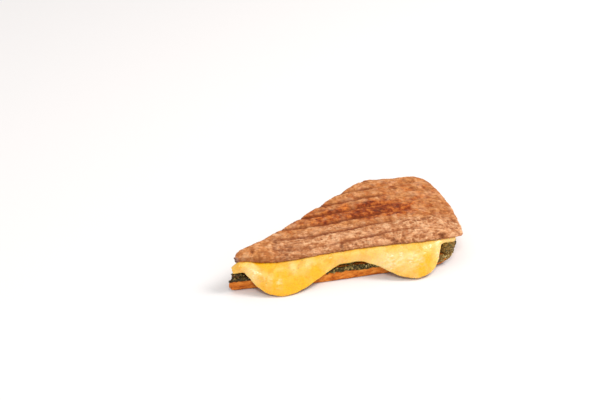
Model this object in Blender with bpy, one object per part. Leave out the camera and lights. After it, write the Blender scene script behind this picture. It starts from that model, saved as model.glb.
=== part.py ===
"""Half of a pressed cheese and pesto sandwich, cut on the slant.

Four layers lie on each other: bottom bread, pesto, melted cheese and top bread. The cheese runs out
over the long crust side in two lobes, and over the short crust side in a small one.

Working frame: the sharp tip of the half is at x = 0, y = 0. +X runs along the long crust side, +Y
across the sandwich to the short crust side, +Z up, and the table is z = 0. An empty carries the
layers and puts the origin under the middle of the whole.
"""

import math

import bmesh
import bpy
from mathutils import Vector

# Driving sizes, in metres: the plan, and the knife's cut with its lean over the sandwich's height.
LENGTH = 0.171
WIDTH = 0.100
END_BULGE = 0.0052
CUT_ANGLE = math.radians(39.0)
CUT_LEAN = 0.0050
LEAN_HEIGHT = 0.022
GAP = 0.0003

# Mean heights of the faces where two layers meet, how far they undulate, and the top bread.
BOTTOM_BREAD_TOP = 0.0093
PESTO_TOP = 0.0127
CHEESE_TOP = 0.0219
BREAD_WAVE = 0.0005
PESTO_WAVE = 0.0006
CHEESE_WAVE = 0.0004
TOP_BREAD_THICK = 0.0068

# The pesto piles up at the blunt end of the long side: its extra height, and where, in x and y.
HEAP = 0.0046
HEAP_RISE_X = (0.143, 0.158)
HEAP_FALL_Y = (0.008, 0.045)

# Height of the top bread's lower rim along the long crust side, as (x, z). It fades inwards.
RIM_HEIGHTS = (
    (0.000, 0.0220),
    (0.031, 0.0189),
    (0.105, 0.0217),
    (0.135, 0.0211),
    (0.171, 0.0216),
)
RIM_FADE = 0.028

# Where the rim sags it also stands out: from and to its full width, and how far.
RIM_SAG_RISE = (0.004, 0.024)
RIM_SAG_FALL = (0.036, 0.066)
RIM_SAG_OUT = 0.0018

# The top bread's tip is blunt: how far its rim and its top stand out beyond the knife's line, over
# which width they do, and the hump of the crust behind it, as height, place in x and half length.
TIP_OUT = (0.0010, 0.0042)
TIP_OUT_WIDTH = 0.012
HUMP = 0.0014
HUMP_X = 0.022
HUMP_LENGTH = 0.016

# The press: ribs every RIB_PITCH. The top's grooves swing back towards the blunt end.
RIB_PITCH = 0.014
RIB_WIDTH = 0.0070
TOP_RIB_START = 0.003
BASE_RIB_START = 0.004
TOP_RIB_DEPTH = 0.0008
TOP_RIB_DEPTH_REAR = 0.0015
BASE_RIB_DEPTH = 0.0014
RIB_BEND = 0.0065
RIB_BEND_START = 0.050
RIB_BEND_LENGTH = 0.125

# Rounding of the crust: how far a bread's side and end stand back where they are smallest.
TOP_SIDE_ROUND = 0.0050
TOP_END_ROUND = 0.0060
BASE_SIDE_ROUND = 0.0035
BASE_END_ROUND = 0.0200

# The bottom bread's long side stands out towards its base, as (x, how far).
BASE_FLARE = (
    (0.000, 0.0018),
    (0.060, 0.0052),
    (0.110, 0.0031),
    (0.150, 0.0000),
)

# How far the melted cheese falls over a crust side: the end of the fall, beyond the side.
FRONT_FALL_OUT = 0.0195
FRONT_FALL_Z = 0.0008
REAR_FALL_OUT = 0.0075
REAR_FALL_Z = 0.0050

# Between the lobes it ends in a lip, which is thin at the blunt end. Thickness of its lower edge.
LIP_OUT = 0.0050
THIN_LIP_OUT = 0.0012
THIN_LIP_X = (0.145, 0.158)
LIP_THICK = 0.0030
LOBE_THICK = 0.0022

# At the sharp tip of the half, cheese and pesto bulge out of the cut: how far, and how soon less.
CHEESE_TIP_OUT = 0.0036
PESTO_TIP_OUT = 0.0030
TIP_OUT_FADE = 0.007

# The lobes along a side as (start, lowest, end, reach), in metres of x and shares of the fall. A
# short flank of a lobe is steep, and a long one is slow on the left or even on the right.
FRONT_LOBES = (
    (0.0080, 0.0310, 0.0755, 1.03),
    (0.0880, 0.1310, 0.1515, 0.96),
)
REAR_LOBES = ((0.1290, 0.1460, 0.1620, 1.0),)
STEEP_FLANK = 0.030
STEEP_POWER = 0.47
SLOW_POWER = 1.6
EVEN_POWER = 1.1

# The pesto stays this far behind the cheese where a lobe falls in front of it, and elsewhere it is
# squeezed out: by PESTO_SQUEEZE in the middle of the long side and at its blunt end.
PESTO_INSET = 0.0040
LOBE_MARGIN = 0.0025
PESTO_SQUEEZE = 0.0016
SQUEEZE_RISE = (0.066, 0.078)
SQUEEZE_FALL = (0.100, 0.112)
SQUEEZE_BLUNT_END = (0.149, 0.156)

# Divisions of the layers' faces. The cheese has rows for each curtain and for the layer between.
COLUMNS = 40
LAYER_ROWS = 14
FRONT_ROWS = 8
REAR_ROWS = 4
CHEESE_ROWS = FRONT_ROWS + LAYER_ROWS + REAR_ROWS
BREAD_TIERS = 3


def smoothstep(low, high, value):
    """0 below low, 1 above high, and a smooth ramp between them."""
    t = min(1.0, max(0.0, (value - low) / (high - low)))
    return t * t * (3.0 - 2.0 * t)


def mix(a, b, t):
    return a + (b - a) * t


def wave(value, length, phase=0.0):
    return math.sin(2.0 * math.pi * (value / length + phase))


def profile(points, x):
    """A smooth curve through points given as (x, value), level beyond its ends."""
    if x <= points[0][0]:
        return points[0][1]
    for (x0, a), (x1, b) in zip(points, points[1:]):
        if x <= x1:
            return mix(a, b, smoothstep(x0, x1, x))
    return points[-1][1]


def bezier(a, b, c, d, t):
    """A point on the cubic curve with the end points a and d."""
    s = 1.0 - t
    return a * s**3 + b * 3 * s * s * t + c * 3 * s * t * t + d * t**3


# Faces where the layers meet

def bottom_bread_top(x, y):
    return BOTTOM_BREAD_TOP + BREAD_WAVE * wave(x, 0.085, 0.10) * wave(y, 0.120, 0.25)


def pesto_top(x, y):
    """The pesto is 2 to 4 mm thick, and piles up to the cheese at the blunt end of the long side."""
    uneven = PESTO_WAVE * wave(x, 0.047, 0.16) * wave(y, 0.053, 0.10)
    heap = HEAP * smoothstep(*HEAP_RISE_X, x) * (1.0 - smoothstep(*HEAP_FALL_Y, y))
    return PESTO_TOP + uneven + heap + (bottom_bread_top(x, y) - BOTTOM_BREAD_TOP)


def cheese_top(x, y):
    fade = math.exp(-max(0.0, y) / RIM_FADE)
    return mix(CHEESE_TOP + CHEESE_WAVE * wave(x, 0.110, 0.3), profile(RIM_HEIGHTS, x), fade)


# Plan shape

def cut_x(y, z):
    """The knife's face, which leans so that the lower layers reach further out."""
    return y / math.tan(CUT_ANGLE) - CUT_LEAN * (1.0 - z / LEAN_HEIGHT)


def blunted(x, tip, soft=0.0012):
    """x, kept beyond the worn tip of the wedge."""
    over = (tip - x) / soft
    return tip + soft * math.log1p(math.exp(-over)) if over > -30.0 else x


def round_corner(x, y, centre_x, centre_y, side):
    """Bends the square corner beyond an arc's centre to a round one. side is +1 for the rear."""
    dx = x - centre_x
    dy = (y - centre_y) * side
    if dx <= 0.0 or dy <= 0.0:
        return x, y
    pull = max(dx, dy) / math.hypot(dx, dy)
    return centre_x + dx * pull, centre_y + dy * pull * side


class Outline:
    """The plan of one layer: a slant cut on the left and crust on the other three sides."""

    def __init__(self, end, front, rear, front_radius, rear_radius, tip):
        self.end = end
        self.front = front
        self.rear = rear
        self.front_radius = front_radius
        self.rear_radius = rear_radius
        self.tip = tip

    def place(self, u, v, z, side_inset=0.0, end_inset=0.0):
        """The plan point at u (0 the cut, 1 the blunt end) and v (0 the long side, 1 the short)."""
        front = self.front + side_inset
        rear = self.rear - side_inset
        end = self.end - end_inset
        y = mix(front, rear, v)
        x = mix(blunted(cut_x(y, z), self.tip), end, u)
        x += END_BULGE * math.sin(math.pi * v) * smoothstep(0.6, 1.0, u)
        for edge, radius, side in (
            (front, self.front_radius, -1),
            (rear, self.rear_radius, 1),
        ):
            arc = max(0.0005, radius - end_inset)
            x, y = round_corner(x, y, end - arc, edge - side * arc, side)
        return x, y

    def crust_distance(self, x, y):
        """How far the plan point lies inside the nearest crust side."""
        return min(y - self.front, self.rear - y, self.end - x)


TOP_OUTLINE = Outline(LENGTH, 0.0, WIDTH, 0.004, 0.017, -0.0015)
CHEESE_OUTLINE = Outline(LENGTH - 0.005, 0.0015, WIDTH - 0.002, 0.004, 0.016, -0.0050)
PESTO_OUTLINE = Outline(LENGTH - 0.006, -0.0006, WIDTH - 0.002, 0.006, 0.016, -0.0062)
BOTTOM_OUTLINE = Outline(LENGTH - 0.008, -0.0028, WIDTH - 0.001, 0.008, 0.017, -0.0084)


# Building a layer

def divided_block(columns, rows, tiers):
    """A block from 0 to 1 each way, with its faces divided along X, Y and Z."""
    bm = bmesh.new()
    bmesh.ops.create_cube(bm, size=1.0)
    bmesh.ops.translate(bm, verts=bm.verts, vec=(0.5, 0.5, 0.5))
    for axis, parts in enumerate((columns, rows, tiers)):
        along = [
            e
            for e in bm.edges
            if abs(e.verts[0].co[axis] - e.verts[1].co[axis]) > 1e-6
        ]
        bmesh.ops.subdivide_edges(bm, edges=along, cuts=parts - 1, use_grid_fill=True)
    return bm


def layer(name, divisions, shape, material, parent):
    """Makes one layer: shape maps a block's (u, v, w) to a point."""
    bm = divided_block(*divisions)
    for vert in bm.verts:
        vert.co = Vector(shape(*vert.co))
    bmesh.ops.recalc_face_normals(bm, faces=bm.faces)
    mesh = bpy.data.meshes.new(name)
    bm.to_mesh(mesh)
    bm.free()
    mesh.materials.append(material)
    mesh.shade_smooth()
    mesh.set_sharp_from_angle(angle=math.radians(50))
    obj = bpy.data.objects.new(name, mesh)
    obj.parent = parent
    parent.users_collection[0].objects.link(obj)
    return obj


def make_material(name, colour, roughness):
    material = bpy.data.materials.new(name)
    material.use_nodes = True
    shader = material.node_tree.nodes["Principled BSDF"]
    shader.inputs["Base Color"].default_value = (*colour, 1.0)
    shader.inputs["Roughness"].default_value = roughness
    shader.inputs["Metallic"].default_value = 0.0
    return material


# The two breads

def groove(y, start):
    """1 at the bottom of a rib's groove, 0 on the flat bread between two grooves."""
    from_centre = (y - start + RIB_PITCH / 2.0) % RIB_PITCH - RIB_PITCH / 2.0
    if abs(from_centre) >= RIB_WIDTH / 2.0:
        return 0.0
    return 0.5 + 0.5 * math.cos(2.0 * math.pi * from_centre / RIB_WIDTH)


def rib_bend(x):
    """How far back the grooves of the top swing at x."""
    turn = min(1.0, max(0.0, (x - RIB_BEND_START) / RIB_BEND_LENGTH))
    return RIB_BEND * (1.0 - math.cos(math.pi * turn))


def top_surface(x, y):
    """The pressed top of the sandwich: grooved, and lower near its crust but for a hump at the tip."""
    inside = max(0.0, TOP_OUTLINE.crust_distance(x, y))
    edge = mix(0.0020, 0.0010, y / WIDTH) * math.exp(-((inside / 0.009) ** 2))
    edge *= smoothstep(0.010, 0.045, x)
    end = 0.0022 * smoothstep(0.145, LENGTH, x) * (1.0 - smoothstep(0.0, 0.05, y))
    hump = HUMP * math.exp(-(((x - HUMP_X) / HUMP_LENGTH) ** 2))
    depth = mix(TOP_RIB_DEPTH, TOP_RIB_DEPTH_REAR, smoothstep(0.020, 0.055, y))
    ribs = depth * groove(y - rib_bend(x), TOP_RIB_START) * smoothstep(0.001, 0.008, inside)
    return cheese_top(x, y) + TOP_BREAD_THICK + hump - edge - end - ribs


def top_bread(u, v, w):
    """The crust side is a quarter round from the lower rim up to the pressed face."""
    turn = w * math.pi / 2.0
    side_inset = TOP_SIDE_ROUND * (1.0 - math.cos(turn))
    end_inset = TOP_END_ROUND * (1.0 - math.cos(turn))
    x, y = TOP_OUTLINE.place(u, v, CHEESE_TOP, side_inset, end_inset)
    sag = smoothstep(*RIM_SAG_RISE, x) * (1.0 - smoothstep(*RIM_SAG_FALL, x))
    y -= RIM_SAG_OUT * sag * (1.0 - v) ** 8
    x -= mix(*TIP_OUT, w) * math.exp(-((y / TIP_OUT_WIDTH) ** 2)) * (1.0 - u) ** 6
    low = cheese_top(x, y) + GAP / 2.0
    z = mix(low, top_surface(x, y), math.sin(turn))
    lean = CUT_LEAN / LEAN_HEIGHT * smoothstep(0.0, 0.020, y)
    return x + (z - CHEESE_TOP) * lean * (1.0 - u), y, z


def bottom_bread(u, v, w):
    """The crust side is a quarter round from the flat base up to the pesto, flared at the front."""
    turn = w * math.pi / 2.0
    side_inset = BASE_SIDE_ROUND * (1.0 - math.sin(turn))
    end_inset = BASE_END_ROUND * (1.0 - math.sin(turn))
    rise = 1.0 - math.cos(turn)
    x, y = BOTTOM_OUTLINE.place(u, v, BOTTOM_BREAD_TOP * rise, side_inset, end_inset)
    y -= profile(BASE_FLARE, x) * math.cos(turn) * (1.0 - v) ** 8
    inside = BOTTOM_OUTLINE.crust_distance(x, y)
    ribs = BASE_RIB_DEPTH * groove(y, BASE_RIB_START) * smoothstep(0.008, 0.011, inside)
    return x, y, mix(ribs, bottom_bread_top(x, y) - GAP / 2.0, rise)


# The fillings

def lobe_reach(x, lobes):
    """How far down its fall the cheese gets at x: 0 a lip under the bread, 1 the whole fall."""
    for start, lowest, end, reach in lobes:
        if start < x <= lowest:
            power = STEEP_POWER if lowest - start < STEEP_FLANK else SLOW_POWER
            return reach * math.sin(math.pi / 2.0 * (x - start) / (lowest - start)) ** power
        if lowest < x < end:
            power = STEEP_POWER if end - lowest < STEEP_FLANK else EVEN_POWER
            return reach * math.sin(math.pi / 2.0 * (end - x) / (end - lowest)) ** power
    return 0.0


def lobe_near(x, lobes):
    """1 where a lobe falls at x or just beside it, 0 where the side is open."""
    reach = max(lobe_reach(x + step, lobes) for step in (-LOBE_MARGIN, 0.0, LOBE_MARGIN))
    return smoothstep(0.0, 0.07, reach)


def tip_share(y):
    """1 at the sharp tip of the half, fading to 0 along the cut."""
    return math.exp(-max(0.0, y) / TIP_OUT_FADE)


def pesto(u, v, w):
    """An uneven layer that is squeezed out where the cheese leaves the long side open."""
    x, y = PESTO_OUTLINE.place(u, v, mix(BOTTOM_BREAD_TOP, PESTO_TOP, w))
    y += PESTO_INSET * lobe_near(x, FRONT_LOBES) * (1.0 - v) ** 4
    y -= PESTO_INSET * lobe_near(x, REAR_LOBES) * v**4
    z = mix(bottom_bread_top(x, y) + GAP / 2.0, pesto_top(x, y) - GAP / 2.0, w)
    bulge = math.sin(math.pi * w)
    lumps = 0.0004 * wave(x, 0.017) + 0.0003 * wave(x + y, 0.0063, 0.4)
    if v == 0.0:
        middle = smoothstep(*SQUEEZE_RISE, x) * (1.0 - smoothstep(*SQUEEZE_FALL, x))
        squeezed = PESTO_SQUEEZE * (middle + smoothstep(*SQUEEZE_BLUNT_END, x))
        y -= bulge * (squeezed + lumps)
    elif v == 1.0:
        y += bulge * (PESTO_SQUEEZE / 2.0 + lumps)
    elif u == 1.0:
        x += bulge * (PESTO_SQUEEZE + lumps)
    elif u == 0.0:
        x += bulge * (lumps - PESTO_TIP_OUT * tip_share(y))
    return x, y, z


def curtain(x, s, w, side_y, side, reach, fall_out, fall_z):
    """The cheese beyond a crust side. s runs from 0 under the top bread to 1 at the lower end.

    Two curves run out over the side and down, one for the outer skin and one for the inner. They
    end apart, and the middle tier is pushed out between them to round the end.
    """
    top = cheese_top(x, side_y) - GAP / 2.0
    under = pesto_top(x, side_y) + GAP / 2.0
    lip = mix(LIP_OUT, THIN_LIP_OUT, smoothstep(*THIN_LIP_X, x))
    out = mix(lip, fall_out, reach**1.2)
    low = mix(under + 0.0004, fall_z, reach)
    thick = mix(LIP_THICK, LOBE_THICK, reach)
    outer = bezier(
        Vector((0.0, top)),
        Vector((mix(lip, 0.45 * out, reach), top - 0.0002)),
        Vector((mix(lip, 0.78 * out, reach), mix(top - 0.003, mix(low, top, 0.62), reach))),
        Vector((out, low + thick * 0.5)),
        s,
    )
    inner = bezier(
        Vector((0.0, under)),
        Vector((mix(0.3 * lip, 0.30 * out, reach), mix(under, under + 0.0012, reach))),
        Vector((mix(0.6 * lip, 0.66 * out, reach), mix(under, mix(low, top, 0.46), reach))),
        Vector((out - thick * 0.9, low)),
        s,
    )
    point = inner.lerp(outer, w)
    point.x += 0.0010 * math.sin(math.pi * w) * s**4
    return x, side_y + side * point.x, point.y


def cheese(u, v, w):
    """The layer between the breads, with a curtain of cheese beyond each crust side.

    v counts rows: the long side's curtain, then the layer, then the short side's curtain.
    """
    row = v * CHEESE_ROWS - FRONT_ROWS
    across = min(1.0, max(0.0, row / LAYER_ROWS))
    x, y = CHEESE_OUTLINE.place(u, across, mix(PESTO_TOP, CHEESE_TOP, w))
    if u == 0.0:
        out = 0.0009 + 0.0005 * wave(y, 0.021, 0.2) + CHEESE_TIP_OUT * tip_share(y)
        x -= math.sin(math.pi * w) * out
    if row < 0.0:
        reach = lobe_reach(x, FRONT_LOBES)
        s = -row / FRONT_ROWS
        return curtain(x, s, w, y, -1.0, reach, FRONT_FALL_OUT, FRONT_FALL_Z)
    if row > LAYER_ROWS:
        reach = lobe_reach(x, REAR_LOBES)
        s = (row - LAYER_ROWS) / REAR_ROWS
        return curtain(x, s, w, y, 1.0, reach, REAR_FALL_OUT, REAR_FALL_Z)
    z = mix(pesto_top(x, y) + GAP / 2.0, cheese_top(x, y) - GAP / 2.0, w)
    return x, y, z


def centre_on_base(carrier, layers):
    """Moves the carrier so that the origin lies under the middle of the layers."""
    corners = [v.co for obj in layers for v in obj.data.vertices]
    middle = [
        (min(c[axis] for c in corners) + max(c[axis] for c in corners)) / 2.0
        for axis in (0, 1)
    ]
    base = min(c.z for c in corners)
    carrier.location = (-middle[0], -middle[1], -base)


def main():
    for obj in list(bpy.data.objects):
        bpy.data.objects.remove(obj, do_unlink=True)
    collection = bpy.data.collections.new("cheese_sandwich_half")
    bpy.context.scene.collection.children.link(collection)
    carrier = bpy.data.objects.new("sandwich", None)
    collection.objects.link(carrier)

    toasted = make_material("toasted_bread", (0.50, 0.27, 0.15), 0.75)
    crust = make_material("bread_crust", (0.52, 0.25, 0.10), 0.65)
    melted = make_material("melted_cheese", (0.88, 0.60, 0.14), 0.35)
    green = make_material("green_pesto", (0.07, 0.09, 0.03), 0.55)

    layers = [
        layer("bread_bottom", (16, 34, BREAD_TIERS), bottom_bread, crust, carrier),
        layer("pesto", (COLUMNS, LAYER_ROWS, 2), pesto, green, carrier),
        layer("cheese", (COLUMNS, CHEESE_ROWS, 2), cheese, melted, carrier),
        layer("bread_top", (20, 38, BREAD_TIERS), top_bread, toasted, carrier),
    ]
    centre_on_base(carrier, layers)


main()
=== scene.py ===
"""Dresses half of a pressed cheese sandwich: baked crusts, open crumb, melted cheese and herb paste.

Each layer's solid is copied to a fine mesh, whose points are moved by the relief that the real layer
has. The same fields are kept on the mesh as attributes, so that colour and relief agree.

Points are handled in millimetres in the sandwich's own frame: the sharp tip at x = 0, y = 0, with x
along the long crust side, y across to the short one and z up from the table. Where a zone's start,
end, front, rear or top is a pair of places, the zone fades between the two.
"""

import math
import random

import bmesh
import bpy
import numpy as np
from mathutils import Matrix, Vector, noise


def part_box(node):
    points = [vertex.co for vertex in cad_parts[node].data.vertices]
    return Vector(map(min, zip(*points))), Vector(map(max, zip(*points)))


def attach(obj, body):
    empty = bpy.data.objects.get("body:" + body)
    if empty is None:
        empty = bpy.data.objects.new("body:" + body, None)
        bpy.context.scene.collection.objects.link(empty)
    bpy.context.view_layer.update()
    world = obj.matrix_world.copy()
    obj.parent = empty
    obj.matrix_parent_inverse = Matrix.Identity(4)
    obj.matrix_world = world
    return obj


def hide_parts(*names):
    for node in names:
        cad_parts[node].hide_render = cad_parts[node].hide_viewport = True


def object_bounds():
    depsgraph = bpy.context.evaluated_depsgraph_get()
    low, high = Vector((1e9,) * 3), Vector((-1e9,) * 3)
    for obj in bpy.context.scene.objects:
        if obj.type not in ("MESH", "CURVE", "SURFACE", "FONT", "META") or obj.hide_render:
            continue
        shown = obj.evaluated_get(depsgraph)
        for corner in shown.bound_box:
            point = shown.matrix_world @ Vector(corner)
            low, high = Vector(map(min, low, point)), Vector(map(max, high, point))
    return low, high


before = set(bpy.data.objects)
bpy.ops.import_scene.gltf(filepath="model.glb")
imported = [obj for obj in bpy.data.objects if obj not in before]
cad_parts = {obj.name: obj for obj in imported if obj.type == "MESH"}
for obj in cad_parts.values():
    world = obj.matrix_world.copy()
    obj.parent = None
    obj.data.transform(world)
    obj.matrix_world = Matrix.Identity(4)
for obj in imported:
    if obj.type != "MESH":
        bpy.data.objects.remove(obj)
cad_low, cad_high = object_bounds()

MM = 0.001

# The sharp tip, measured from the high corner of the top bread's box by that bread's reach.
TOP_LENGTH = 176.2
TOP_WIDTH = 100.0
_, top_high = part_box("bread_top")
TIP = np.array([top_high.x / MM - TOP_LENGTH, top_high.y / MM - TOP_WIDTH, 0.0])

# The knife's cut: the way its face looks, how squarely and how near its plane a point has to be.
CUT_ANGLE = math.radians(39.0)
CUT_OUT = np.array([-math.sin(CUT_ANGLE), math.cos(CUT_ANGLE), 0.1])
CUT_FACING = (0.45, 0.80)
CUT_NEAR = (6.0, 4.0)

# The press ribs, as the solids have them.
RIB_PITCH = 14.0
TOP_RIB_START = 3.0
BASE_RIB_START = 4.0
RIB_BEND = 6.5
RIB_BEND_START = 50.0
RIB_BEND_LENGTH = 125.0

# Faces by the height of their normal: level ones, the base, and ones too level for a side or rim.
LEVEL_FACE = (0.5, 0.85)
BASE_FACE = (0.6, 0.9)
NOT_SIDE = (0.55, 0.85)
NOT_RIM = (0.05, 0.50)

# Zones of the top bread, along x and, where the name says front or rear, along y.
FRONT_BAND_REAR = (13.0, 24.0)
SMOOTH_TIP_END = (24.0, 32.0)
GROOVES_START = (24.0, 46.0)
GROOVES_END = (112.0, 140.0)
GROOVES_FRONT = (1.0, 6.0)
CROSS_WRINKLES_START = (40.0, 60.0)
FOLDS_START = (100.0, 130.0)
FOLDS_REAR = (48.0, 34.0)

# Faint rings near the blunt end: squashed circles at an even pitch round a centre.
RING_CENTRE = (118.0, 34.0)
RING_SQUASH = 0.62
RING_FIRST = 38.0
RING_PITCH = 7.0
RING_HALF_WIDTH = 1.2
RINGS_START = (146.0, 154.0)

# Dry crumb that the blunt tip shows below its crust.
BARE_STEEP = (0.8, 0.5)
BARE_TOP = (26.0, 25.0)

# The lower corner of the bottom bread at the sharp end, which is rounded off.
CORNER_PLACE = (-6.0, -2.0)
CORNER_REACH = (7.0, 7.0)
CORNER_HEIGHT = 5.0
CORNER_ROUNDING = 0.10

# The cheese's lip between its two lobes, and where its cut face starts to be torn.
LIP_START = (62.0, 74.0)
LIP_END = (96.0, 108.0)
LIP_FRONT = (-1.0, -3.0)
LIP_TOP = (14.0, 19.0)
LIP_DROP = 1.2
TORN_START = (6.0, 14.0)

# The wavy face between paste and cheese, by y and by height in each, and the paste's brim and tip.
WAVE_FRONT = (-1.0, 4.0)
WAVE_IN_CHEESE = (14.0, 20.0)
WAVE_IN_PASTE = (9.8, 12.0)
PASTE_BRIM = (11.5, 12.6)
PASTE_TIP = (4.0, 12.0)

# Paste is darker at the sharp end and paler at the blunt one.
DARK_PASTE_END = (8.0, 16.0)
PALE_PASTE_START = (138.0, 150.0)

# Where paste is smeared over the bottom bread's side, and how low it reaches there.
SMEAR_START = (63.0, 67.0)
SMEAR_END = (102.0, 108.0)
SMEAR_FRONT = (4.0, 1.0)
BLUNT_SMEAR_START = (147.0, 151.0)
BLUNT_SMEAR_REAR = (8.0, 20.0)
REAR_SMEAR_START = (40.0, 50.0)
TIP_SMEAR_END = (8.0, 12.0)
SMEAR_LOW = {
    "middle": (5.8, 7.0),
    "blunt end": (2.8, 4.0),
    "rear": (7.4, 8.4),
    "tip": (7.2, 8.2),
    "cut": (8.0, 9.0),
}

# A smear is neither under the bread nor on top of it, ends where its cover is this thin, and has a
# skin that starts this far inside the bread and this much deeper, in millimetres.
SMEAR_NOT_UNDER = (-0.6, -0.3)
SMEAR_OFF_TOP = (0.98, 0.90)
SMEAR_LOOK_ROUNDS = 5
SMEAR_EDGE = 0.05
SMEAR_SINK = 0.4
SMEAR_SKIN = 0.3

# Patches of smear with fewer faces than this are left out.
SMALL_PATCH = 120

# The photograph's camera, in the sandwich's own frame.
CAMERA_PLACE = np.array([-143.0, -813.0, 491.8])
CAMERA_AZIMUTH = math.radians(-13.134)
CAMERA_ELEVATION = math.radians(27.0)
CAMERA_LENS = 80.0
SENSOR_WIDTH = 36.0

FLOOR_COLOUR = (0.85, 0.82, 0.81, 1.0)
FLOOR_SIZE = 6.0
WORLD_STRENGTH = 0.74

# The next tables hold x, y, half length along x, half width along y, and height or strength.

# Marks pressed into the top bread.
TOP_MARKS = (
    (117.0, 1.5, 2.2, 1.4, -0.9),
    (154.0, 1.5, 1.6, 1.6, -1.2),
    (164.5, 8.5, 2.2, 1.8, -0.6),
    (147.0, 23.0, 1.6, 1.4, -0.9),
    (159.5, 43.0, 1.0, 3.2, -0.9),
    (117.5, 44.0, 5.0, 3.0, -0.8),
    (135.0, 24.0, 1.8, 1.3, -0.9),
    (12.0, 2.5, 1.2, 1.2, -0.9),
    (29.0, 6.0, 1.4, 3.2, -0.5),
    (31.5, 13.5, 1.2, 2.6, -0.5),
    (27.0, 9.5, 1.6, 2.4, 0.4),
    (77.5, 2.0, 1.4, 1.2, -1.0),
    (56.0, 50.0, 2.2, 1.6, -0.8),
    (92.0, 74.0, 2.4, 1.8, -0.8),
    (140.0, 76.0, 1.8, 2.4, -0.7),
    (127.0, 32.0, 1.4, 3.2, 0.6),
    (121.0, 36.0, 1.6, 2.2, 0.6),
    (34.5, 22.5, 4.0, 1.5, 0.7),
    (77.0, 6.0, 1.2, 3.6, 0.5),
    (95.0, 7.0, 5.0, 1.2, 0.4),
    (62.0, 9.0, 9.0, 1.0, 0.4),
)

# Toasted, scorched and bare places of the top bread.
TOASTED_TOP = (
    (124.0, 45.0, 24.0, 12.0, 1.5),
    (84.0, 44.0, 36.0, 12.0, 1.1),
)
SCORCHED_TOP = (
    (117.0, 44.5, 6.0, 3.2, 1.0),
    (98.0, 41.0, 12.0, 1.6, 0.7),
)
BARE_TIP = ((-1.0, 0.0, 2.6, 4.0, 1.0),)

# Places on the cheese that are paler and partly painted highlight, places with painted highlight
# streaks, more deeply yellow places, and one so thin that the paste shows through.
PALE_AND_PAINTED_HIGHLIGHT_CHEESE = (
    (9.0, -6.0, 5.0, 3.5, 1.0),
    (40.0, -6.0, 2.0, 4.0, 1.0),
    (106.0, -7.0, 12.0, 2.6, 1.0),
    (126.0, -9.0, 8.0, 1.8, 1.0),
    (150.0, -5.0, 2.5, 5.0, 1.0),
    (159.0, 0.0, 8.0, 3.0, 1.0),
)
PAINTED_HIGHLIGHT_PLACES = (
    (112.0, -9.5, 14.0, 2.6, 1.0),
    (131.0, -11.0, 6.0, 3.0, 1.0),
    (10.0, -6.5, 4.0, 2.2, 1.0),
    (149.0, -8.0, 2.0, 4.0, 1.0),
)
DEEP_CHEESE = (
    (16.0, -1.5, 4.0, 2.0, 1.0),
    (23.0, -4.5, 4.0, 2.4, 1.0),
    (29.0, -12.5, 5.0, 3.0, 1.0),
    (57.0, -9.0, 4.5, 3.0, 1.0),
    (38.0, -16.0, 24.0, 5.0, 1.0),
    (134.0, -15.0, 3.0, 2.2, 1.0),
    (140.0, -11.0, 3.0, 3.0, 1.0),
)
THIN_CHEESE = ((44.0, -3.0, 7.0, 12.0, 1.0),)


def unit(values):
    """Values held between 0 and 1."""
    return np.clip(values, 0.0, 1.0)


def smoothstep(low, high, value):
    """0 at low and 1 at high, smooth between them. It falls where low is above high."""
    t = unit((value - low) / (high - low))
    return t * t * (3.0 - 2.0 * t)


def between(start, end, place):
    """1 after the fade `start` and before the fade `end`."""
    return smoothstep(*start, place) * (1.0 - smoothstep(*end, place))


def blob(points, centre, radii):
    """1 at a centre in plan, falling to 0 over the radii."""
    away = ((points[:, 0] - centre[0]) / radii[0]) ** 2
    away += ((points[:, 1] - centre[1]) / radii[1]) ** 2
    return np.exp(-away)


def patches(points, table):
    """The sum of a table's blobs, each times its height or strength."""
    return sum(high * blob(points, (x, y), (long, wide)) for x, y, long, wide, high in table)


# Noise fields. Each field of a layer has a seed of its own.

SEED_STEP = 7.31


def fractal(points, size, octaves, seed, stretch=(1.0, 1.0, 1.0)):
    """Smooth noise of about -0.8 to 0.8, with bumps `size` across that are drawn out by `stretch`."""
    placed = points / (np.array(stretch) * size) + seed * SEED_STEP
    values = [
        noise.fractal(p, 1.0, 2.0, octaves, noise_basis="PERLIN_NEW")
        for p in placed.tolist()
    ]
    return np.array(values)


def ridges(points, size, octaves, seed, stretch=(1.0, 1.0, 1.0)):
    """0 to 1, with sharp crests where smooth noise crosses zero."""
    return 1.0 - unit(3.0 * np.abs(fractal(points, size, octaves, seed, stretch)))


def spots(points, size, radius, share, seed):
    """1 in the middle of scattered spots, 0 outside. Only a share of the spots is shown."""
    placed = points / size + seed * SEED_STEP
    values = []
    for p in placed.tolist():
        near, where = noise.voronoi(p)
        shown = abs(noise.cell(where[0])) < share
        values.append(near[0] if shown else 1.0)
    return 1.0 - smoothstep(0.0, 1.0, np.array(values) * size / radius)


# Fine meshes

WELD = 0.001

# An edge shows in the length of a normal that is averaged this often, and isn't smoothed. Elsewhere
# a round pulls each point in and then pushes it out a little further, so that nothing shrinks.
EDGE_ROUNDS = 3
NOT_EDGE = (0.80, 0.95)
SMOOTHING_SHARES = (0.50, -0.52)


def read(layer, kind, name, width):
    """One property of all of a mesh layer's items, as rows of `width` numbers."""
    values = np.empty(len(layer) * width, np.float32 if kind is float else np.int32)
    layer.foreach_get(name, values)
    return values.reshape(-1, width)


def points_of(mesh):
    """The mesh's points in millimetres in the sandwich's own frame."""
    return read(mesh.vertices, float, "co", 3) / MM - TIP


def normals_of(mesh):
    return read(mesh.vertex_normals, float, "vector", 3).astype(float)


def set_points(mesh, points):
    """Writes points back, kept inside the box of the solids."""
    world = (points + TIP) * MM
    world = np.clip(world, np.array(cad_low), np.array(cad_high))
    mesh.vertices.foreach_set("co", world.astype(np.float32).ravel())
    mesh.update()


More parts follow.
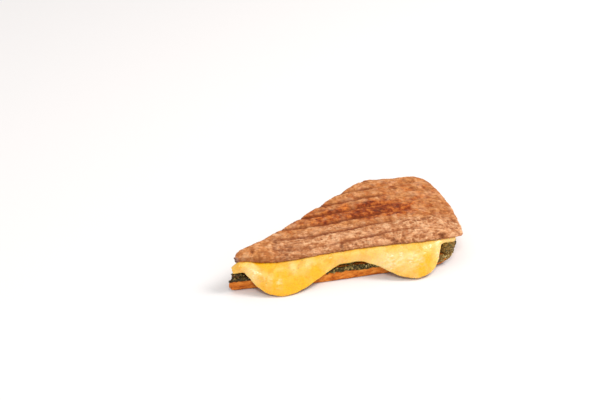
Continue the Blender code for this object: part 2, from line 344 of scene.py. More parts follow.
def neighbour_mean(values, ends, count):
    """The mean of each point's neighbours."""
    total = np.empty((count, 3))
    for axis in range(3):
        total[:, axis] = np.bincount(ends[:, 0], values[ends[:, 1], axis], count)
        total[:, axis] += np.bincount(ends[:, 1], values[ends[:, 0], axis], count)
    degree = np.bincount(ends.ravel(), minlength=count)
    return total / degree[:, None]


def smooth_facets(mesh, rounds):
    """Smooths the solid's facets away without shrinking it, and keeps the cut's and rim's edges."""
    count = len(mesh.vertices)
    ends = read(mesh.edges, int, "vertices", 2)
    normals = normals_of(mesh)
    for _ in range(EDGE_ROUNDS):
        normals = neighbour_mean(normals, ends, count)
    soft = smoothstep(*NOT_EDGE, np.linalg.norm(normals, axis=1))[:, None]
    points = points_of(mesh)
    for _ in range(rounds):
        for share in SMOOTHING_SHARES:
            points += share * soft * (neighbour_mean(points, ends, count) - points)
    set_points(mesh, points)


def add_object(name, mesh):
    piece = bpy.data.objects.new(name, mesh)
    bpy.context.scene.collection.objects.link(piece)
    return piece


def fine_copy(node, name, voxel, rounds):
    """A closed fine mesh of a node's solid, which replaces the node."""
    bm = bmesh.new()
    bm.from_mesh(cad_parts[node].data)
    bmesh.ops.remove_doubles(bm, verts=bm.verts, dist=WELD * MM)
    coarse = bpy.data.meshes.new(name)
    bm.to_mesh(coarse)
    bm.free()
    piece = add_object(name, coarse)
    remesh = piece.modifiers.new("fine", "REMESH")
    remesh.mode = "VOXEL"
    remesh.voxel_size = voxel * MM
    graph = bpy.context.evaluated_depsgraph_get()
    fine = bpy.data.meshes.new_from_object(piece.evaluated_get(graph))
    piece.modifiers.clear()
    piece.data = fine
    fine.name = name
    smooth_facets(fine, rounds)
    fine.shade_smooth()
    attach(piece, "root")
    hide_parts(node)
    return piece


def keep(mesh, **fields):
    """Keeps fields on the mesh for its material."""
    for name, values in fields.items():
        field = mesh.attributes.new(name, "FLOAT", "POINT")
        field.data.foreach_set("value", np.asarray(values, np.float32))


def set_material(mesh, material):
    mesh.materials.clear()
    mesh.materials.append(material)


def cut_mask(points, normals):
    """1 on the face that the knife cut."""
    depth = points[:, 0] * math.sin(CUT_ANGLE) - points[:, 1] * math.cos(CUT_ANGLE)
    return smoothstep(*CUT_FACING, normals @ CUT_OUT) * smoothstep(*CUT_NEAR, depth)


# Lines and waves that layers share

def repeated_line(place, start, pitch, half_width):
    """1 on lines at every `pitch` from `start`, falling to 0 over half_width."""
    away = (place - start + pitch / 2.0) % pitch - pitch / 2.0
    return np.exp(-((away / half_width) ** 2))


def rib_line(points, start, half_width, bent):
    """1 along the middle of each groove of the press."""
    across = points[:, 1]
    if bent:
        turn = unit((points[:, 0] - RIB_BEND_START) / RIB_BEND_LENGTH)
        across = across - RIB_BEND * (1.0 - np.cos(math.pi * turn))
    across = across + 0.7 * fractal(points, 11.0, 2, seed=3)
    return repeated_line(across, start, RIB_PITCH, half_width)


def end_rings(points):
    """1 along the faint rings near the blunt end, which follow its rim."""
    x, y, _ = points.T
    radius = np.hypot(x - RING_CENTRE[0], RING_SQUASH * (y - RING_CENTRE[1]))
    radius += 0.5 * fractal(points, 9.0, 2, seed=15)
    shown = unit(0.3 + 1.5 * fractal(points, 8.0, 2, seed=14))
    line = repeated_line(radius, RING_FIRST, RING_PITCH, RING_HALF_WIDTH)
    return line * smoothstep(*RINGS_START, x) * shown


def filling_wave(points):
    """How far the face between paste and cheese is lifted, in millimetres."""
    flat = points * np.array([1.0, 1.0, 0.0])
    return 1.1 * fractal(flat, 7.0, 2, seed=70) * smoothstep(*WAVE_FRONT, points[:, 1])


def open_crumb(points, seed):
    """How deep the pores of cut bread are, in millimetres."""
    large = spots(points, size=4.0, radius=1.5, share=0.8, seed=seed)
    small = spots(points, size=1.6, radius=0.72, share=0.9, seed=seed + 1)
    return np.maximum(1.3 * large, 0.9 * small)


# The top bread

def top_zones(points):
    """The greyer front band, the smooth tip, and the stretch that the press has grooved."""
    x, y, _ = points.T
    front = 1.0 - smoothstep(*FRONT_BAND_REAR, y - 0.05 * x + 6.0 * fractal(points, 14.0, 2, seed=16))
    tip = 1.0 - smoothstep(*SMOOTH_TIP_END, x)
    grooved = (1.0 - tip) * (1.0 - smoothstep(*GROOVES_END, x))
    return front, tip, grooved


def top_grooves(points, grooved):
    """The press's grooves, uneven in depth, which fade towards the front edge and the tip."""
    x, y, _ = points.T
    line = rib_line(points, TOP_RIB_START, half_width=1.5, bent=True) * grooved
    line *= smoothstep(*GROOVES_FRONT, y)
    line *= smoothstep(*GROOVES_START, x + 6.0 * fractal(points, 8.0, 2, seed=19))
    line *= 0.65 + 0.9 * unit(fractal(points, 13.0, 2, seed=5) + 0.3)
    return line


def top_detail(points, rough, line):
    """Height of the fine relief on the pressed crust, in millimetres."""
    x, y, _ = points.T
    streak = ridges(points, 1.9, 2, seed=9, stretch=(5.0, 1.0, 1.0))
    cross = ridges(points, 2.8, 2, seed=10, stretch=(1.0, 3.0, 1.0)) * smoothstep(*CROSS_WRINKLES_START, x)
    wrinkles = 0.34 * (streak - 0.35) + 0.46 * (cross - 0.35)
    patchy = np.clip(0.55 + 1.4 * fractal(points, 12.0, 2, seed=18), 0.15, 1.0)
    folds = ridges(points, 5.0, 2, seed=21) - 0.4
    folds = folds * smoothstep(*FOLDS_START, x) * smoothstep(*FOLDS_REAR, y)
    grain = (0.12 + 0.16 * rough) * fractal(points, 1.5, 2, seed=2)
    swell = 0.38 * fractal(points, 5.0, 2, seed=17)
    pit = spots(points, size=5.5, radius=0.9, share=0.5, seed=7)
    dent = spots(points, size=9.0, radius=2.4, share=0.6, seed=8)
    raised = patches(points, TOP_MARKS) + 0.35 * folds
    detail = grain + swell + rough * patchy * wrinkles
    detail += raised - 0.60 * line - 0.3 * end_rings(points) - 0.55 * pit - 0.45 * dent
    return detail


def dress_top_bread():
    piece = fine_copy("bread_top", "toasted_top_bread", voxel=0.54, rounds=55)
    mesh = piece.data
    points, normals = points_of(mesh), normals_of(mesh)
    cut = cut_mask(points, normals)
    under = smoothstep(*LEVEL_FACE, -normals[:, 2])
    crust = (1.0 - cut) * (1.0 - under)

    front, tip, grooved = top_zones(points)
    rough = unit(front * (1.0 - 0.6 * tip) + 0.5 * grooved)
    line = top_grooves(points, grooved)
    detail = top_detail(points, rough, line)
    relief = 0.40 * fractal(points, 16.0, 2, seed=1) + detail - 0.05
    pore = open_crumb(points, seed=20)
    bare = patches(points, BARE_TIP) * smoothstep(*BARE_STEEP, normals[:, 2])
    bare *= smoothstep(*BARE_TOP, points[:, 2])
    relief = crust * relief - cut * pore + bare * (0.8 + 0.8 * fractal(points, 1.6, 2, seed=22))
    set_points(mesh, points + normals * relief[:, None])

    toast = patches(points, TOASTED_TOP)
    toast += 0.9 * fractal(points, 7.0, 3, seed=4) + 0.05 - 0.7 * front
    toast = unit(toast)
    keep(
        mesh,
        cut=cut,
        bare=bare,
        # pore: where the pores are painted dark as their shade
        pore=unit(pore) * cut,
        line=line * crust,
        rim=(1.0 - smoothstep(*NOT_RIM, normals[:, 2])) * crust,
        # low: painted shade, darker in the relief's hollows
        low=unit(-1.6 * detail) * crust,
        grey=unit(0.95 * front * (1.0 - tip) + 0.3 * fractal(points, 8.0, 2, seed=6)),
        toast=toast,
        # high: painted highlight, lighter on the relief's crests
        high=unit(2.2 * detail) * crust * (0.7 + 0.6 * front) * (1.0 - 0.7 * toast),
        scorch=unit(patches(points, SCORCHED_TOP) * (0.5 + 1.8 * fractal(points, 2.6, 2, seed=23))),
    )
    set_material(mesh, crust_material())
    return piece


# The bottom bread

def dress_bottom_bread():
    piece = fine_copy("bread_bottom", "crusty_bottom_bread", voxel=0.56, rounds=55)
    mesh = piece.data
    points, normals = points_of(mesh), normals_of(mesh)
    cut = cut_mask(points, normals)
    over = smoothstep(*LEVEL_FACE, normals[:, 2])
    base = smoothstep(*BASE_FACE, -normals[:, 2])
    crust = (1.0 - cut) * (1.0 - over)

    line = rib_line(points, BASE_RIB_START, half_width=1.6, bent=False) * base
    streak = ridges(points, 2.6, 3, seed=12, stretch=(4.5, 4.5, 1.0))
    pit = spots(points, size=4.5, radius=0.7, share=0.5, seed=13)
    relief = 0.14 * fractal(points, 7.0, 3, seed=11) + 0.10 * streak - 0.4 * pit - 0.3 * line - 0.1
    pore = open_crumb(points, seed=30)
    relief = crust * relief - cut * pore
    relief *= 1.0 - base * (1.0 - line)
    moved = points + normals * relief[:, None]
    corner = np.clip(CORNER_HEIGHT - points[:, 2], 0.0, CORNER_HEIGHT)
    corner *= blob(points, CORNER_PLACE, CORNER_REACH)
    moved[:, 0] += CORNER_ROUNDING * corner**2
    set_points(mesh, moved)

    keep(
        mesh,
        cut=cut,
        # pore: where the pores are painted dark as their shade
        pore=unit(pore) * cut,
        line=line,
        # pit: pits painted dark as their shade
        pit=pit * crust,
        streak=streak * crust,
        base=base,
    )
    set_material(mesh, side_crust_material())
    return piece


# The cheese

def dress_cheese():
    piece = fine_copy("cheese", "melted_cheese", voxel=0.6, rounds=40)
    mesh = piece.data
    points, normals = points_of(mesh), normals_of(mesh)
    x, y, z = points.T
    cut = cut_mask(points, normals)
    flow = fractal(points, 7.0, 2, seed=41, stretch=(1.0, 2.0, 2.6))
    lumps = fractal(points, 10.0, 2, seed=42)
    fine = fractal(points, 2.4, 2, seed=43)
    bubble = spots(points, size=8.0, radius=1.1, share=0.5, seed=44)
    pit = spots(points, size=5.0, radius=0.55, share=0.35, seed=45)
    # Painted highlight: whitish streaks at the listed places, also slightly raised.
    shine = ridges(points, 2.4, 2, seed=51, stretch=(2.2, 1.0, 1.0))
    shine = shine * unit(patches(points, PAINTED_HIGHLIGHT_PLACES))
    relief = 0.40 * flow + 0.35 * lumps + 0.04 * fine + 0.2 * bubble - 0.35 * pit + 0.3 * shine
    torn = 2.2 * fractal(points, 3.8, 3, seed=46, stretch=(1.0, 1.0, 2.2))
    torn = torn + 0.8 * ridges(points, 3.4, 2, seed=47) - 0.5
    torn *= smoothstep(*TORN_START, y)
    relief = (1.0 - cut) * relief + cut * torn
    moved = points + normals * relief[:, None]
    lip = between(LIP_START, LIP_END, x)
    lip *= smoothstep(*LIP_FRONT, y) * (1.0 - smoothstep(*LIP_TOP, z))
    moved[:, 2] -= LIP_DROP * lip
    moved[:, 2] += filling_wave(points) * (1.0 - smoothstep(*WAVE_IN_CHEESE, z))
    set_points(mesh, moved)

    pale = patches(points, PALE_AND_PAINTED_HIGHLIGHT_CHEESE)
    deep = patches(points, DEEP_CHEESE)
    seen_through = patches(points, THIN_CHEESE) * spots(points, size=2.4, radius=1.0, share=0.6, seed=50)
    keep(
        mesh,
        cut=cut,
        shine=shine,
        # low: painted shade in the torn face's hollows
        low=unit(-0.6 * torn) * cut,
        # pale: paler tone at random, and painted highlight at the listed pale places
        pale=unit(0.32 + 0.4 * fractal(points, 9.0, 3, seed=48) + 0.9 * pale - 0.7 * deep),
        deep=unit(0.7 * fractal(points, 5.0, 3, seed=49) - 0.05 + 1.3 * deep - pale),
        speck=np.maximum(pit, seen_through),
    )
    set_material(mesh, cheese_material())
    return piece


# The herb paste

def keep_paste_fields(mesh, points):
    """Light flecks all over, a darker sharp end and a paler blunt end."""
    keep(
        mesh,
        light=unit(0.1 + 1.6 * fractal(points, 1.6, 2, seed=64)),
        dark_end=1.0 - smoothstep(*DARK_PASTE_END, points[:, 0]),
        pale_end=smoothstep(*PALE_PASTE_START, points[:, 0]),
    )


def dress_pesto():
    piece = fine_copy("pesto", "green_herb_paste", voxel=0.52, rounds=20)
    mesh = piece.data
    points, normals = points_of(mesh), normals_of(mesh)
    x, y, z = points.T
    side = 1.0 - smoothstep(*NOT_SIDE, np.abs(normals[:, 2]))
    lumps = 0.9 * fractal(points, 3.0, 3, seed=61) + 0.7 * ridges(points, 2.2, 2, seed=62) - 0.4
    outward = normals * np.array([1.0, 1.0, 0.0])
    tip = 1.0 - smoothstep(*PASTE_TIP, x + np.abs(y))
    calmer = 1.0 - 0.7 * tip
    moved = points + normals * (side * lumps * calmer)[:, None]
    moved += outward * (0.7 * tip * side)[:, None]
    moved[:, 2] += filling_wave(points) * smoothstep(*WAVE_IN_PASTE, z)
    moved[:, 2] += 0.35 * smoothstep(*PASTE_BRIM, z)
    cut = cut_mask(points, normals)
    moved += normals * (1.9 * cut * calmer * fractal(points, 4.6, 2, seed=65))[:, None]
    set_points(mesh, moved)
    keep_paste_fields(mesh, points)
    set_material(mesh, pesto_material())
    return piece


def drop_loose_ends(bm):
    """Takes away points where only corners touch, and patches of few faces."""
    ties = [True]
    while ties:
        ties = [v for v in bm.verts if sum(edge.is_boundary for edge in v.link_edges) > 2]
        bmesh.ops.delete(bm, geom=ties, context="VERTS")
    seen, small = set(), []
    for first in bm.faces:
        patch, reached = [], [first]
        while reached:
            face = reached.pop()
            if face in seen:
                continue
            seen.add(face)
            patch.append(face)
            reached += [f for edge in face.edges for f in edge.link_faces if f not in seen]
        if len(patch) < SMALL_PATCH:
            small += patch
    bmesh.ops.delete(bm, geom=small, context="FACES")


def close_skin(bm, depth):
    """Gives an open sheet a second side, `depth` away from it, and closes the rim between the two."""
    rim = [edge for edge in bm.edges if edge.is_boundary]
    made = bmesh.ops.duplicate(bm, geom=bm.verts[:] + bm.edges[:] + bm.faces[:])
    inner = [face for face in made["geom"] if isinstance(face, bmesh.types.BMFace)]
    inner_of = made["vert_map"]
    bmesh.ops.reverse_faces(bm, faces=inner)
    for vert in {v for face in inner for v in face.verts}:
        vert.co += vert.normal * depth
    for edge in rim:
        a, b = edge.verts
        bm.faces.new((b, a, inner_of[a], inner_of[b]))
    bmesh.ops.recalc_face_normals(bm, faces=bm.faces)


def smear_cover(points, normals):
    """1 where paste hangs over the bottom bread's side, and 1 where that is at the blunt end."""
    x, y, z = points.T
    ragged = 1.1 * fractal(points, 5.0, 2, seed=81)
    middle = between(SMEAR_START, SMEAR_END, x) * smoothstep(*SMEAR_FRONT, y)
    middle *= smoothstep(*SMEAR_LOW["middle"], z + ragged)
    blunt_end = smoothstep(*BLUNT_SMEAR_START, x) * (1.0 - smoothstep(*BLUNT_SMEAR_REAR, y))
    blunt_end *= smoothstep(*SMEAR_LOW["blunt end"], z + ragged)
    rear = smoothstep(*REAR_SMEAR_START, y) * smoothstep(*SMEAR_LOW["rear"], z + 1.4 * ragged)
    tip = (1.0 - smoothstep(*TIP_SMEAR_END, x)) * smoothstep(*SMEAR_LOW["tip"], z + 0.5 * ragged)
    cut = cut_mask(points, normals)
    drips = 2.6 * fractal(points, 6.5, 2, seed=84)
    over_cut = cut * smoothstep(*SMEAR_LOW["cut"], z + drips - 0.3)
    cover = unit(middle + blunt_end + rear + tip) * smoothstep(*SMEAR_NOT_UNDER, normals[:, 2])
    return cover * (1.0 - cut) + over_cut, blunt_end


def smear_paste(carrier):
    """Paste that hangs over the bottom bread's side: a lumpy skin of its own over that side."""
    bm = bmesh.new()
    bm.from_mesh(carrier.data)
    mesh = bpy.data.meshes.new("smeared_herb_paste")
    bm.to_mesh(mesh)
    bm.free()
    points, normals = points_of(mesh), normals_of(mesh)
    cover, blunt_end = smear_cover(points, normals)
    ends = read(mesh.edges, int, "vertices", 2)
    around = normals
    for _ in range(SMEAR_LOOK_ROUNDS):
        around = neighbour_mean(around, ends, len(points))
    cover *= smoothstep(*SMEAR_OFF_TOP, around[:, 2])
    thick = 1.0 + 0.9 * fractal(points, 2.6, 3, seed=82) + 0.4 * ridges(points, 2.0, 2, seed=83)
    thick = thick - 0.4 * blunt_end
    set_points(mesh, points + normals * (cover * thick - SMEAR_SINK)[:, None])

    bm = bmesh.new()
    bm.from_mesh(mesh)
    bare = [face for face in bm.faces if max(cover[v.index] for v in face.verts) < SMEAR_EDGE]
    bmesh.ops.delete(bm, geom=bare, context="FACES")
    drop_loose_ends(bm)
    close_skin(bm, SMEAR_SKIN * MM)
    bm.to_mesh(mesh)
    bm.free()
    points = points_of(mesh)
    keep_paste_fields(mesh, points)
    set_points(mesh, points)
    mesh.shade_smooth()
    set_material(mesh, pesto_material())
    piece = add_object("smeared_herb_paste", mesh)
    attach(piece, "root")
    return piece


# Small loose bits

SEED = 27
FLAKE_WIDTH = (0.4, 0.9)
FLAKE_THICKNESS = (0.25, 0.5)
FLAKE_UNEVENNESS = (0.75, 1.2)

# Where bits may lie: the gap between the lobes, both ends, and the rim at the blunt end.
LOBE_GAP = (62.0, 110.0)
LOBE_GAP_REAR = 2.0
SHARP_TIP = 1.0
SHARP_SIDE_END = 10.0
BLUNT_SIDE_START = 148.0
BLUNT_SMEAR = (140.0, 20.0)
RIM_START = 166.0
RIM_STRETCH = (50.0, 62.0)


def add_bit(bm, place, normal, size, rng):
    """Adds one irregular flake, flat along the surface that it lies on."""
    made = bmesh.ops.create_icosphere(bm, subdivisions=1, radius=1.0)
    turn = normal.to_track_quat("Z", "Y").to_matrix().to_4x4()
    spin = Matrix.Rotation(rng.uniform(0.0, 2.0 * math.pi), 4, "Z")
    width = size * rng.uniform(*FLAKE_WIDTH)
    shape = Matrix.Diagonal((size, width, size * rng.uniform(*FLAKE_THICKNESS), 1.0))
    for vert in made["verts"]:
        vert.co *= rng.uniform(*FLAKE_UNEVENNESS)
    bmesh.ops.transform(
        bm,
        matrix=Matrix.Translation(place) @ turn @ spin @ shape,
        verts=made["verts"],
    )


def scatter(name, places, material, seed):
    """Bits of one kind as one piece, on the points of each carrier that its `wanted` picks."""
    rng = random.Random(SEED + seed)
    bm = bmesh.new()
    for carrier, wanted, count, sizes in places:
        points, normals = points_of(carrier.data), normals_of(carrier.data)
        allowed = np.flatnonzero(wanted(points, normals))
        for index in rng.sample(allowed.tolist(), min(count, len(allowed))):
            place = Vector((points[index] + TIP) * MM)
            size = rng.uniform(*sizes) * MM
            normal = Vector(normals[index])
            add_bit(bm, place + normal * size * 0.1, normal, size, rng)
    bits = bpy.data.meshes.new(name)
    bm.to_mesh(bits)
    bm.free()
    set_points(bits, points_of(bits))
    bits.shade_smooth()
    bits.materials.append(material)
    piece = add_object(name, bits)
    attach(piece, "root")
    return piece


def open_side(points, normals):
    """The paste's sides that the cheese leaves open: between the lobes and at both ends."""
    x, y = points[:, 0], points[:, 1]
    between_lobes = (x > LOBE_GAP[0]) & (x < LOBE_GAP[1]) & (y < LOBE_GAP_REAR)
    ends = (x > BLUNT_SIDE_START) | (x < SHARP_SIDE_END)
    return (np.abs(normals[:, 2]) < 0.8) & (between_lobes | ends)


def outside(points, normals):
    """All of a smear but its underside."""
    return normals[:, 2] > -0.2


def cut_side(points, normals):
    return cut_mask(points, normals) > 0.8


def pressed_face(points, normals):
    """The upper face of the top bread."""
    return normals[:, 2] > 0.6


def blunt_smear(points, normals):
    """The smear at the blunt end."""
    start, rear = BLUNT_SMEAR
    return (points[:, 0] > start) & (points[:, 1] < rear) & outside(points, normals)


def rim_corner(points, normals):
    """The top bread's rim at the blunt end."""
    x, y = points[:, 0], points[:, 1]
    stretch = (x > RIM_START) & (y > RIM_STRETCH[0]) & (y < RIM_STRETCH[1])
    return stretch & (normals[:, 2] > 0.1) & (normals[:, 2] < 0.6)


def sharp_end(points, normals):
    """The paste's side at the sharp tip."""
    return (points[:, 0] < SHARP_TIP) & (np.abs(normals[:, 2]) < 0.8)


def add_bits(smear, paste, top):
    """Chopped herb and pale stalks in the paste and on one rim, and dry crumbs.

    Each place has a carrier, the points wanted on it, a count, and the least and largest radius.
    """
    herb = bit_material("chopped_herb", (24, 20, 2), (100, 92, 26), 0.55)
    pale = bit_material("pale_herb_stalk", (150, 124, 52), (228, 206, 146), 0.55)
    crumb = bit_material("toast_crumb", (96, 52, 28), (190, 130, 84), 0.9)
    herbs = (
        (paste, open_side, 260, (0.35, 0.8)),
        (paste, cut_side, 200, (0.35, 0.9)),
        (smear, outside, 260, (0.35, 0.8)),
        (top, rim_corner, 4, (0.5, 0.9)),
    )
    stalks = (
        (paste, open_side, 140, (0.3, 0.6)),
        (paste, cut_side, 60, (0.3, 0.6)),
        (smear, outside, 150, (0.3, 0.6)),
        (smear, blunt_smear, 130, (0.5, 1.1)),
    )
    crumbs = (
        (top, pressed_face, 80, (0.2, 0.4)),
        (paste, sharp_end, 26, (0.4, 0.8)),
    )
    scatter("chopped_herbs", herbs, herb, 1)
    scatter("pale_herb_stalks", stalks, pale, 2)
    scatter("toast_crumbs", crumbs, crumb, 3)


# Material nodes. Colours are display colours of 0 to 255, and a ramp's stops are (position, colour).

def srgb(red, green, blue):
    """A display colour as linear values with alpha."""
    shares = [c / 255.0 for c in (red, green, blue)]
    linear = [((c + 0.055) / 1.055) ** 2.4 if c > 0.04045 else c / 12.92 for c in shares]
    return (*linear, 1.0)


def make_material(name, roughness, **sockets):
    material = bpy.data.materials.new(name)
    material.use_nodes = True
    shader = material.node_tree.nodes["Principled BSDF"]
    shader.inputs["Roughness"].default_value = roughness
    for socket, value in sockets.items():
        shader.inputs[socket.replace("_", " ")].default_value = value
    return material, material.node_tree, shader


def noise_out(tree, size, detail, roughness=0.55, stretch=(1.0, 1.0, 1.0)):
    """The output of a noise texture with bumps `size` millimetres across."""
    place = tree.nodes.new("ShaderNodeTexCoord")
    mapping = tree.nodes.new("ShaderNodeMapping")
    mapping.inputs["Scale"].default_value = [1.0 / (size * MM * s) for s in stretch]
    texture = tree.nodes.new("ShaderNodeTexNoise")
    texture.inputs["Scale"].default_value = 1.0
    texture.inputs["Detail"].default_value = detail
    texture.inputs["Roughness"].default_value = roughness
    tree.links.new(place.outputs["Object"], mapping.inputs["Vector"])
    tree.links.new(mapping.outputs["Vector"], texture.inputs["Vector"])
    return texture.outputs["Fac"]


def field_out(tree, name):
    """The output of a field that is kept on the mesh."""
    node = tree.nodes.new("ShaderNodeAttribute")
    node.attribute_name = name
    return node.outputs["Fac"]


def ramp_out(tree, factor, stops):
    node = tree.nodes.new("ShaderNodeValToRGB")
    elements = node.color_ramp.elements
    while len(elements) < len(stops):
        elements.new(0.5)
    for element, (position, colour) in zip(elements, stops):
        element.position = position
        element.color = srgb(*colour)
    tree.links.new(factor, node.inputs["Fac"])
    return node.outputs["Color"]


def range_out(tree, factor, low, high, to_low=0.0, to_high=1.0):
    node = tree.nodes.new("ShaderNodeMapRange")
    tree.links.new(factor, node.inputs["Value"])
    for socket, value in zip(("From Min", "From Max", "To Min", "To Max"), (low, high, to_low, to_high)):
        node.inputs[socket].default_value = value
    return node.outputs["Result"]


def share_out(tree, factor, share):
    """An output times a share."""
    node = tree.nodes.new("ShaderNodeMath")
    node.operation = "MULTIPLY"
    tree.links.new(factor, node.inputs[0])
    node.inputs[1].default_value = share
    return node.outputs["Value"]


def mix_out(tree, factor, first, second, blend="MIX"):
    """Mixes two colours, each an output or a linear colour."""
    node = tree.nodes.new("ShaderNodeMix")
    node.data_type = "RGBA"
    node.blend_type = blend
    sockets = (node.inputs[0], node.inputs[6], node.inputs[7])
    for socket, value in zip(sockets, (factor, first, second)):
        if isinstance(value, (float, tuple)):
            socket.default_value = value
        else:
            tree.links.new(value, socket)
    return node.outputs[2]


def tinted(tree, colour, *tints):
    """Lays tints over a colour in turn, each given as kept field, share and display colour."""
    for name, share, tint in tints:
        factor = share_out(tree, field_out(tree, name), share)
        colour = mix_out(tree, factor, colour, srgb(*tint))
    return colour


def add_bump(tree, shader, height, distance):
    """Fine relief from a height output, up to `distance` millimetres."""
    node = tree.nodes.new("ShaderNodeBump")
    node.inputs["Strength"].default_value = 1.0
    node.inputs["Distance"].default_value = distance * MM
    tree.links.new(height, node.inputs["Height"])
    tree.links.new(node.outputs["Normal"], shader.inputs["Normal"])


# Materials

CRUST_TAN = ((0.32, (148, 80, 36)), (0.49, (192, 120, 64)), (0.66, (220, 154, 96)))
CRUST_GREYER = ((0.33, (140, 78, 42)), (0.50, (190, 122, 74)), (0.66, (228, 174, 128)))
CRUST_TOASTED = ((0.36, (92, 28, 5)), (0.48, (150, 63, 15)), (0.60, (204, 114, 45)))
PALE_BLOTCH = (228, 170, 128)
DARK_BLOTCH = (154, 84, 42)
DRY_CRUMB = ((0.4, (84, 62, 60)), (0.62, (160, 138, 132)))
TOP_CRUMB = ((0.36, (112, 72, 56)), (0.52, (158, 110, 86)), (0.66, (198, 150, 118)))

SIDE_BROWN = ((0.34, (164, 76, 16)), (0.50, (212, 118, 38)), (0.66, (236, 154, 68)))
BASE_BROWN = ((0.36, (96, 42, 20)), (0.54, (132, 66, 34)), (0.70, (178, 108, 66)))
SIDE_SPECK = (92, 42, 16)
BOTTOM_CRUMB = ((0.36, (112, 62, 34)), (0.52, (162, 102, 60)), (0.66, (204, 148, 98)))
PORE_SHADE = (66, 30, 18)

CHEESE_YELLOW = ((0.34, (229, 164, 32)), (0.50, (235, 178, 46)), (0.66, (240, 188, 62)))
CHEESE_CUT = ((0.36, (188, 148, 26)), (0.48, (232, 172, 48)), (0.64, (248, 208, 120)))
CHEESE_SPECK = (196, 116, 24)

PASTE_GREEN = (
    (0.40, (16, 12, 2)),
    (0.50, (56, 45, 8)),
    (0.57, (122, 100, 36)),
    (0.64, (216, 190, 126)),
)


def crumb_colour(tree, walls):
    """Cut bread: lighter walls, with the pores painted dark as their shade."""
    walls = ramp_out(tree, noise_out(tree, 2.0, 5.0, 0.65), walls)
    return mix_out(tree, field_out(tree, "pore"), walls, srgb(*PORE_SHADE))


def crust_material():
    """The pressed top: tan, greyer at the front, toasted orange brown in the middle and in grooves, with
    painted highlight on crests and painted shade in hollows.
    """
    material, tree, shader = make_material("toasted_crust", 0.8, Specular_IOR_Level=0.18)
    tan = ramp_out(tree, noise_out(tree, 2.6, 6.0, 0.7), CRUST_TAN)
    greyer = ramp_out(tree, noise_out(tree, 1.8, 6.0, 0.7, (2.0, 1.0, 1.0)), CRUST_GREYER)
    toasted = ramp_out(tree, noise_out(tree, 4.6, 6.0, 0.66), CRUST_TOASTED)
    colour = mix_out(tree, field_out(tree, "grey"), tan, greyer)
    broad = noise_out(tree, 8.0, 4.0, 0.6)
    pale_places = range_out(tree, broad, 0.50, 0.66, to_high=0.50)
    dark_places = range_out(tree, broad, 0.48, 0.34, to_high=0.36)
    colour = mix_out(tree, pale_places, colour, srgb(*PALE_BLOTCH))
    colour = mix_out(tree, dark_places, colour, srgb(*DARK_BLOTCH))
    colour = mix_out(tree, field_out(tree, "toast"), colour, toasted)
    colour = tinted(
        tree,
        colour,
        ("scorch", 0.85, (96, 26, 6)),
        # painted highlight on the relief's crests
        ("high", 0.50, (240, 192, 146)),
        # painted shade in the relief's hollows
        ("low", 0.68, (108, 50, 22)),
        ("line", 0.6, (120, 52, 14)),
        ("rim", 0.5, (134, 72, 36)),
    )
    strokes = noise_out(tree, 1.2, 4.0, 0.65, (3.2, 1.0, 1.0))
    colour = mix_out(tree, 1.0, colour, range_out(tree, strokes, 0.36, 0.64, 0.80, 1.18), "MULTIPLY")
    colour = mix_out(tree, field_out(tree, "cut"), colour, crumb_colour(tree, TOP_CRUMB))
    dry = ramp_out(tree, noise_out(tree, 1.2, 3.0), DRY_CRUMB)
    colour = mix_out(tree, field_out(tree, "bare"), colour, dry)
    tree.links.new(colour, shader.inputs["Base Color"])
    add_bump(tree, shader, noise_out(tree, 0.9, 4.0, 0.7), 0.32)
    return material


def side_crust_material():
    """The bottom bread: orange brown sides with pits painted dark as shade, and a strongly toasted ribbed
    base.
    """
    material, tree, shader = make_material("bottom_crust", 0.75, Specular_IOR_Level=0.2)
    sides = ramp_out(tree, noise_out(tree, 2.6, 5.0, 0.66, (2.5, 2.5, 1.0)), SIDE_BROWN)
    toasted = ramp_out(tree, noise_out(tree, 5.0, 5.0, 0.6), BASE_BROWN)
    colour = mix_out(tree, field_out(tree, "base"), sides, toasted)
    specks = range_out(tree, noise_out(tree, 0.9, 2.0, 0.6), 0.64, 0.72)
    colour = mix_out(tree, share_out(tree, specks, 0.8), colour, srgb(*SIDE_SPECK))
    colour = tinted(
        tree,
        colour,
        ("line", 0.5, (74, 34, 20)),
        # pits painted dark as their shade
        ("pit", 0.8, (80, 36, 16)),
    )
    colour = mix_out(tree, field_out(tree, "cut"), colour, crumb_colour(tree, BOTTOM_CRUMB))
    tree.links.new(colour, shader.inputs["Base Color"])
    add_bump(tree, shader, noise_out(tree, 0.8, 4.0, 0.7), 0.3)
    return material


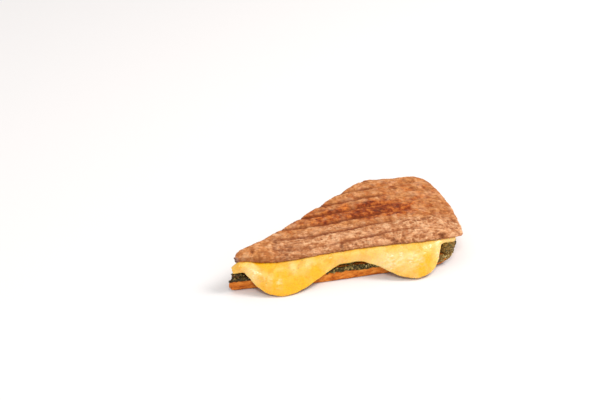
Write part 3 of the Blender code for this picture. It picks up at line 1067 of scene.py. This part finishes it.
def cheese_material():
    """Melted cheese: warm yellow, paler and deeper in places, with painted highlight streaks, painted
    shade in the torn face's hollows and a soft oily gloss.
    """
    material, tree, shader = make_material(
        "cheese_melt",
        0.34,
        Subsurface_Weight=0.35,
        Subsurface_Scale=0.0025,
        Subsurface_Radius=(1.0, 0.55, 0.15),
        Specular_IOR_Level=0.6,
    )
    colour = ramp_out(tree, noise_out(tree, 4.0, 5.0, 0.6), CHEESE_YELLOW)
    colour = tinted(
        tree,
        colour,
        # pale: paler tone, partly painted highlight
        ("pale", 0.85, (248, 210, 132)),
        ("deep", 0.9, (245, 179, 0)),
    )
    specks = range_out(tree, noise_out(tree, 1.1, 3.0, 0.6), 0.60, 0.74)
    colour = mix_out(tree, share_out(tree, specks, 0.35), colour, srgb(*CHEESE_SPECK))
    # painted highlight streaks
    colour = tinted(tree, colour, ("shine", 0.42, (254, 236, 194)))
    cut = ramp_out(tree, noise_out(tree, 3.0, 4.0, 0.6, (1.0, 1.0, 2.5)), CHEESE_CUT)
    # painted shade in the torn face's hollows
    cut = tinted(tree, cut, ("low", 0.8, (196, 116, 16)))
    colour = mix_out(tree, field_out(tree, "cut"), colour, cut)
    colour = tinted(tree, colour, ("speck", 0.7, (120, 98, 40)))
    tree.links.new(colour, shader.inputs["Base Color"])
    gloss = range_out(tree, noise_out(tree, 4.0, 4.0, 0.6), 0.35, 0.65, 0.16, 0.42)
    tree.links.new(gloss, shader.inputs["Roughness"])
    add_bump(tree, shader, noise_out(tree, 2.2, 4.0, 0.6, (1.8, 1.0, 1.0)), 0.22)
    return material


def pesto_material():
    """Chopped herbs in oil: nearly black green with olive and grey green specks."""
    material, tree, shader = make_material("herb_paste", 0.55, Specular_IOR_Level=0.25)
    colour = ramp_out(tree, noise_out(tree, 1.5, 5.0, 0.78), PASTE_GREEN)
    colour = tinted(
        tree,
        colour,
        ("light", 0.3, (112, 84, 30)),
        ("dark_end", 0.45, (34, 22, 4)),
        ("pale_end", 0.30, (196, 142, 62)),
    )
    tree.links.new(colour, shader.inputs["Base Color"])
    gloss = range_out(tree, noise_out(tree, 2.0, 3.0, 0.6), 0.4, 0.6, 0.3, 0.7)
    tree.links.new(gloss, shader.inputs["Roughness"])
    add_bump(tree, shader, noise_out(tree, 0.7, 4.0, 0.7), 0.35)
    return material


def bit_material(name, dark, light, roughness):
    """Small bits that differ from one to the next."""
    material, tree, shader = make_material(name, roughness)
    colour = ramp_out(tree, noise_out(tree, 2.5, 2.0), ((0.4, dark), (0.62, light)))
    tree.links.new(colour, shader.inputs["Base Color"])
    add_bump(tree, shader, noise_out(tree, 0.5, 2.0), 0.1)
    return material


# Stage

def add_floor():
    bpy.ops.mesh.primitive_plane_add(size=FLOOR_SIZE, location=(0.0, 0.0, 0.0))
    floor = bpy.context.active_object
    floor.name = "pale_floor"
    floor.data.materials.append(make_material("pale_floor", 0.9, Base_Color=FLOOR_COLOUR)[0])


def add_light(name, place, size, power, colour=(1.0, 1.0, 1.0)):
    """A round soft light, in metres and watts, that shines at the middle of the table."""
    data = bpy.data.lights.new(name, "AREA")
    data.shape = "DISK"
    data.size = size
    data.energy = power
    data.color = colour
    light = add_object(name, data)
    light.location = place
    light.rotation_euler = (-Vector(place)).to_track_quat("-Z", "Y").to_euler()


def add_world():
    world = bpy.data.worlds.new("studio")
    world.use_nodes = True
    background = world.node_tree.nodes["Background"]
    background.inputs["Color"].default_value = (1.0, 1.0, 1.0, 1.0)
    background.inputs["Strength"].default_value = WORLD_STRENGTH
    bpy.context.scene.world = world


def add_camera():
    azimuth, elevation = CAMERA_AZIMUTH, CAMERA_ELEVATION
    back = Vector((
        math.sin(azimuth) * math.cos(elevation),
        -math.cos(azimuth) * math.cos(elevation),
        math.sin(elevation),
    ))
    data = bpy.data.cameras.new("camera")
    data.lens = CAMERA_LENS
    data.sensor_width = SENSOR_WIDTH
    camera = add_object("camera", data)
    camera.location = Vector((CAMERA_PLACE + TIP) * MM)
    camera.rotation_mode = "QUATERNION"
    camera.rotation_quaternion = back.to_track_quat("Z", "Y")
    bpy.context.scene.camera = camera


def main():
    top = dress_top_bread()
    bottom = dress_bottom_bread()
    dress_cheese()
    paste = dress_pesto()
    smear = smear_paste(bottom)
    add_bits(smear, paste, top)
    add_floor()
    add_world()
    add_light("key", place=(1.125, -0.075, 1.275), size=0.75, power=15.75, colour=(1.0, 0.99, 0.97))
    add_light("fill", place=(-0.3, -1.125, 1.35), size=0.375, power=8.1)
    add_camera()
    bpy.context.scene.view_settings.view_transform = "Standard"


main()
